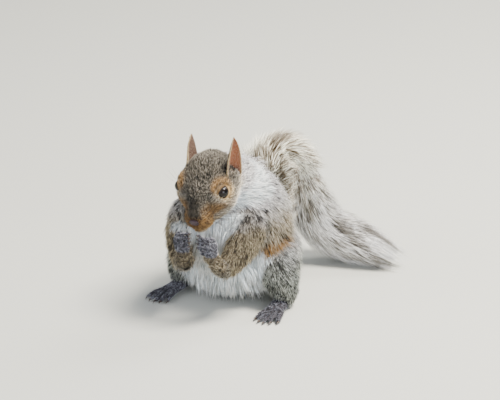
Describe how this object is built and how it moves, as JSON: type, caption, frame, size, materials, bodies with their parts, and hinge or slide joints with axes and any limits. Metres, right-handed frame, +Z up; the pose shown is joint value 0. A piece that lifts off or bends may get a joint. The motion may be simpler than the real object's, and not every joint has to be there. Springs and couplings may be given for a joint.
{
  "type": "grey squirrel",
  "caption": "Life-size still model of an eastern grey squirrel hunched on its haunches, both forepaws held at its mouth, bushy tail arched behind and laid to its left.",
  "frame": {"origin": "centre of the bounding box's base, on the floor it rests on", "axes": "+X to the animal's left, -Y the way it faces, +Z up"},
  "size_m": [0.1584, 0.212, 0.1517],
  "materials": {
    "grey_coat": "short grizzled grey-brown fur, white below",
    "tawny_coat": "short tawny grizzled fur",
    "paw_coat": "very short slate grey fur over skin",
    "tail_coat": "long banded grey-brown hair with pale tips",
    "ear_skin": "thin downy skin",
    "eye": "wet, glossy and dark",
    "nose_skin": "moist bare skin",
    "claw": "smooth dark horn"
  },
  "bodies": {
    "root": {"head": "grey_coat", "lower_jaw": "grey_coat", "neck": "grey_coat", "trunk": "grey_coat", "upper_arm_left": "tawny_coat", "forearm_left": "tawny_coat", "forepaw_left": "paw_coat", "thigh_left": "grey_coat", "lower_leg_left": "grey_coat", "hind_foot_left": "paw_coat", "ear_left": "ear_skin", "eye_left": "eye", "upper_arm_right": "tawny_coat", "forearm_right": "tawny_coat", "forepaw_right": "paw_coat", "thigh_right": "grey_coat", "lower_leg_right": "grey_coat", "hind_foot_right": "paw_coat", "ear_right": "ear_skin", "eye_right": "eye", "nose": "nose_skin", "tail_1": "tail_coat", "tail_2": "tail_coat", "tail_3": "tail_coat", "tail_4": "tail_coat", "tail_5": "tail_coat", "claw_fore_left_1": "claw", "claw_fore_left_2": "claw", "claw_fore_left_3": "claw", "claw_fore_left_4": "claw", "claw_fore_right_1": "claw", "claw_fore_right_2": "claw", "claw_fore_right_3": "claw", "claw_fore_right_4": "claw", "claw_hind_left_1": "claw", "claw_hind_left_2": "claw", "claw_hind_left_3": "claw", "claw_hind_left_4": "claw", "claw_hind_left_5": "claw", "claw_hind_right_1": "claw", "claw_hind_right_2": "claw", "claw_hind_right_3": "claw", "claw_hind_right_4": "claw", "claw_hind_right_5": "claw"}
  },
  "joints": []
}
